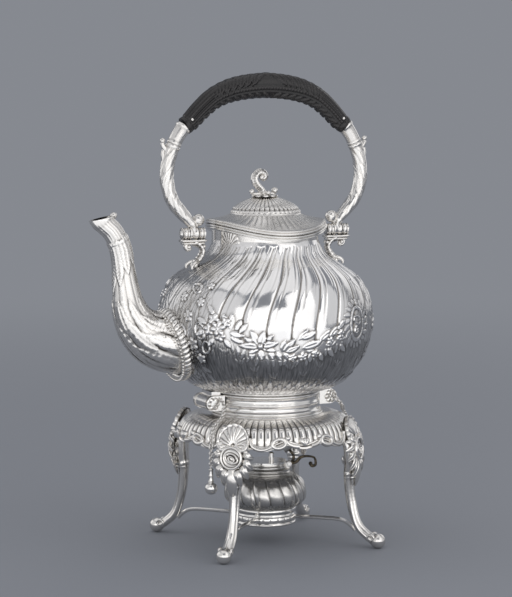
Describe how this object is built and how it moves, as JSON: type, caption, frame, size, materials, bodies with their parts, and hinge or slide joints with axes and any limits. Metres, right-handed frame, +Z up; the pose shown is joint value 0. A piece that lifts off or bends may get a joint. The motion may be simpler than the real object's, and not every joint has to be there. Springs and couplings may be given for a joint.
{
  "type": "spirit kettle on stand",
  "caption": "Chased silver kettle with swan spout, swinging bail and hinged lid, tipping on a footed stand over a spirit lamp.",
  "frame": {"origin": "on the table under the middle of the stand", "axes": "+Z up, spout towards -X, hinged side of the lid towards +X"},
  "size_m": [0.256, 0.1828, 0.3999],
  "materials": {
    "silver_polished": "polished silver plate",
    "silver_chased": "chased silver plate, grey in its hollows",
    "silver_dark": "heat-darkened silver plate",
    "ebony": "carved ebony, satin",
    "black_iron": "blackened iron",
    "cotton": "woven cotton wick"
  },
  "bodies": {
    "stand": {"stand_collar": "silver_polished", "stand_apron": "silver_chased", "leg_front_left": "silver_chased", "leg_front_right": "silver_chased", "leg_rear_left": "silver_chased", "leg_rear_right": "silver_chased", "knee_shell_front_left": "silver_chased", "knee_shell_front_right": "silver_chased", "knee_shell_rear_left": "silver_chased", "knee_shell_rear_right": "silver_chased", "stretcher_front_left": "silver_polished", "stretcher_front_right": "silver_polished", "stretcher_rear_left": "silver_polished", "stretcher_rear_right": "silver_polished", "lamp_ring": "silver_polished", "front_hinge_ears": "silver_chased", "front_hinge_rod": "silver_polished", "rear_lock_ears": "silver_chased", "front_chain": "silver_polished", "rear_chain": "silver_polished"},
    "front_pin": {"front_lock_pin": "silver_polished"},
    "rear_pin": {"rear_lock_pin": "silver_polished"},
    "kettle": {"kettle_body": "silver_chased", "kettle_shoulder": "silver_chased", "kettle_flutes": "silver_chased", "kettle_neck": "silver_chased", "kettle_rim": "silver_polished", "kettle_foot": "silver_polished", "spout": "silver_chased", "spout_beak": "silver_chased", "spout_collar": "silver_chased", "front_bail_bracket": "silver_chased", "rear_bail_bracket": "silver_chased", "front_hinge_knuckle": "silver_chased", "rear_lock_tongue": "silver_chased", "lid_hinge_socket": "silver_polished", "front_bail_pivot": "silver_polished", "rear_bail_pivot": "silver_polished", "lid_hinge_pin": "silver_polished"},
    "bail": {"front_bail_arm": "silver_chased", "rear_bail_arm": "silver_chased", "bail_grip": "ebony", "grip_pins": "silver_polished"},
    "lid": {"lid_cover": "silver_chased", "lid_bezel": "silver_polished", "lid_hinge_leaf": "silver_polished", "finial": "silver_chased", "finial_nut": "silver_polished"},
    "lamp": {"lamp_reservoir": "silver_dark", "burner_plate": "silver_polished", "wick_tube": "silver_polished", "wick": "cotton", "snuffer_bracket": "silver_dark", "snuffer_pin": "silver_polished"},
    "snuffer": {"snuffer_cap": "silver_dark", "snuffer_lever": "black_iron"}
  },
  "joints": [
    {"name": "kettle_tilt", "type": "hinge", "parent": "stand", "child": "kettle", "pos_m": [-0.055, 0, 0.1235], "axis": [0, -1, 0], "range_deg": [0, 50]},
    {"name": "bail_swing", "type": "hinge", "parent": "kettle", "child": "bail", "pos_m": [0, 0, 0.2665], "axis": [1, 0, 0], "range_deg": [-88, 88]},
    {"name": "lid_hinge", "type": "hinge", "parent": "kettle", "child": "lid", "pos_m": [0.0536, 0, 0.26975], "axis": [0, 1, 0], "range_deg": [0, 55]},
    {"name": "lamp_lift", "type": "slide", "parent": "stand", "child": "lamp", "axis": [0, 0, 1], "range_m": [0, 0.02]},
    {"name": "snuffer_hinge", "type": "hinge", "parent": "lamp", "child": "snuffer", "pos_m": [0.01849, -0.00862, 0.0666], "axis": [0.4226, 0.9063, 0], "range_deg": [-55, 0]},
    {"name": "front_pin_swing", "type": "hinge", "parent": "stand", "child": "front_pin", "pos_m": [-0.06868, -0.03965, 0.07647], "axis": [0.5, -0.866, 0], "range_deg": [-20, 20]},
    {"name": "rear_pin_swing", "type": "hinge", "parent": "stand", "child": "rear_pin", "pos_m": [0.0793, 0, 0.08316], "axis": [0, 1, 0], "range_deg": [-20, 20]}
  ]
}
